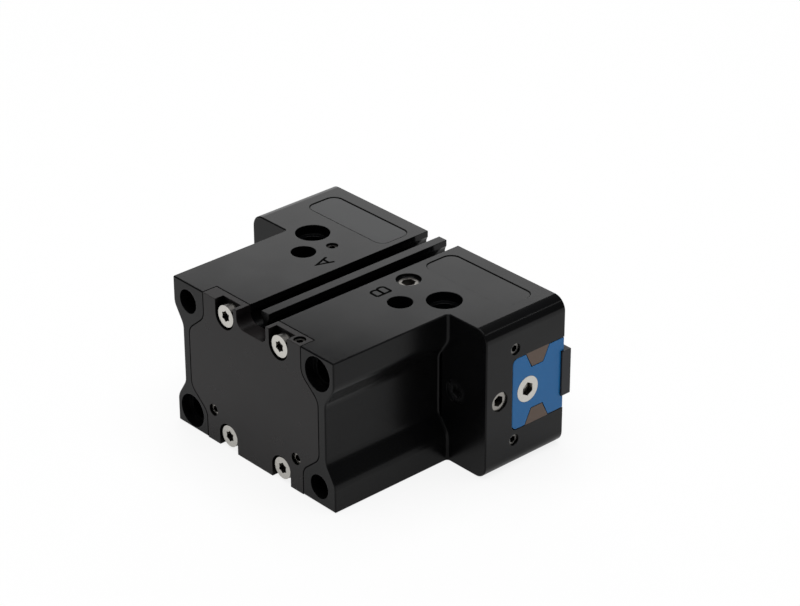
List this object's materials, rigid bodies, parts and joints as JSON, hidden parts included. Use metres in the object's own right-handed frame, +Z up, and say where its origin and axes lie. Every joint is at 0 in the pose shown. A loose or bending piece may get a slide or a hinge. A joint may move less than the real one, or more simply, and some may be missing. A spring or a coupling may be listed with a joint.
{
  "type": "pneumatic parallel gripper",
  "caption": "Parallel-jaw pneumatic gripper with an oval piston, wedge drive, sensor slots and air ports.",
  "frame": {"origin": "centre of the mounting face, on the gripper's axis", "axes": "+Y from the mounting face to the jaws, +X along the right jaw's opening travel, +Z up, out of the large face with the air ports"},
  "size_m": [0.0688, 0.0505, 0.032],
  "materials": {
    "housing_anodised": "black hard-anodised, satin",
    "cover_anodised": "black anodised, satin",
    "jaw_steel": "black oxide, ground",
    "blue_anodised": "blue anodised, satin",
    "rail_steel": "brown hardened and ground",
    "zinc_screws": "bright zinc",
    "set_screws": "steel, dull",
    "black_plugs": "black oxide",
    "dark_cover": "black anodised, satin",
    "bronze": "sintered bronze",
    "hard_steel": "hardened and ground",
    "piston_alloy": "turned",
    "magnet": "nickel plated",
    "seal_rubber": "black nitrile"
  },
  "bodies": {
    "housing_body": {"housing": "housing_anodised", "end_cover": "cover_anodised", "cover_seal": "seal_rubber", "channel_seal": "seal_rubber", "cover_screws": "zinc_screws", "cover_jack_screws": "set_screws", "cover_channel_plug": "set_screws", "grease_plug": "set_screws", "bleed_plug": "black_plugs", "end_port_plugs": "set_screws", "wing_port_plugs": "black_plugs", "guide_grease_plugs": "set_screws", "guide_rail_upper": "rail_steel", "guide_rail_lower": "rail_steel", "rod_bush": "bronze", "rod_seal": "seal_rubber", "seal_retaining_ring": "hard_steel", "centre_dust_cover": "dark_cover", "dust_cover_screws": "zinc_screws"},
    "piston_unit": {"piston": "piston_alloy", "piston_seal": "seal_rubber", "piston_magnets": "magnet", "piston_rod": "hard_steel", "piston_screw": "zinc_screws", "wedge_driver": "hard_steel", "driver_lock_pin": "hard_steel"},
    "right_jaw": {"right_base_jaw": "jaw_steel", "right_end_plate": "blue_anodised", "right_end_plate_screw": "zinc_screws"},
    "left_jaw": {"left_base_jaw": "jaw_steel", "left_end_plate": "blue_anodised", "left_end_plate_screw": "zinc_screws"}
  },
  "joints": [
    {"name": "piston_slide", "type": "slide", "parent": "housing_body", "child": "piston_unit", "axis": [0, 1, 0], "range_m": [0, 0.008]},
    {"name": "right_jaw_slide", "type": "slide", "parent": "housing_body", "child": "right_jaw", "axis": [1, 0, 0], "range_m": [0, 0.006]},
    {"name": "left_jaw_slide", "type": "slide", "parent": "housing_body", "child": "left_jaw", "axis": [-1, 0, 0], "range_m": [0, 0.006]}
  ],
  "couplings": [
    {"joint": "right_jaw_slide", "follows": "piston_slide", "ratio": 0.75},
    {"joint": "left_jaw_slide", "follows": "piston_slide", "ratio": 0.75}
  ]
}
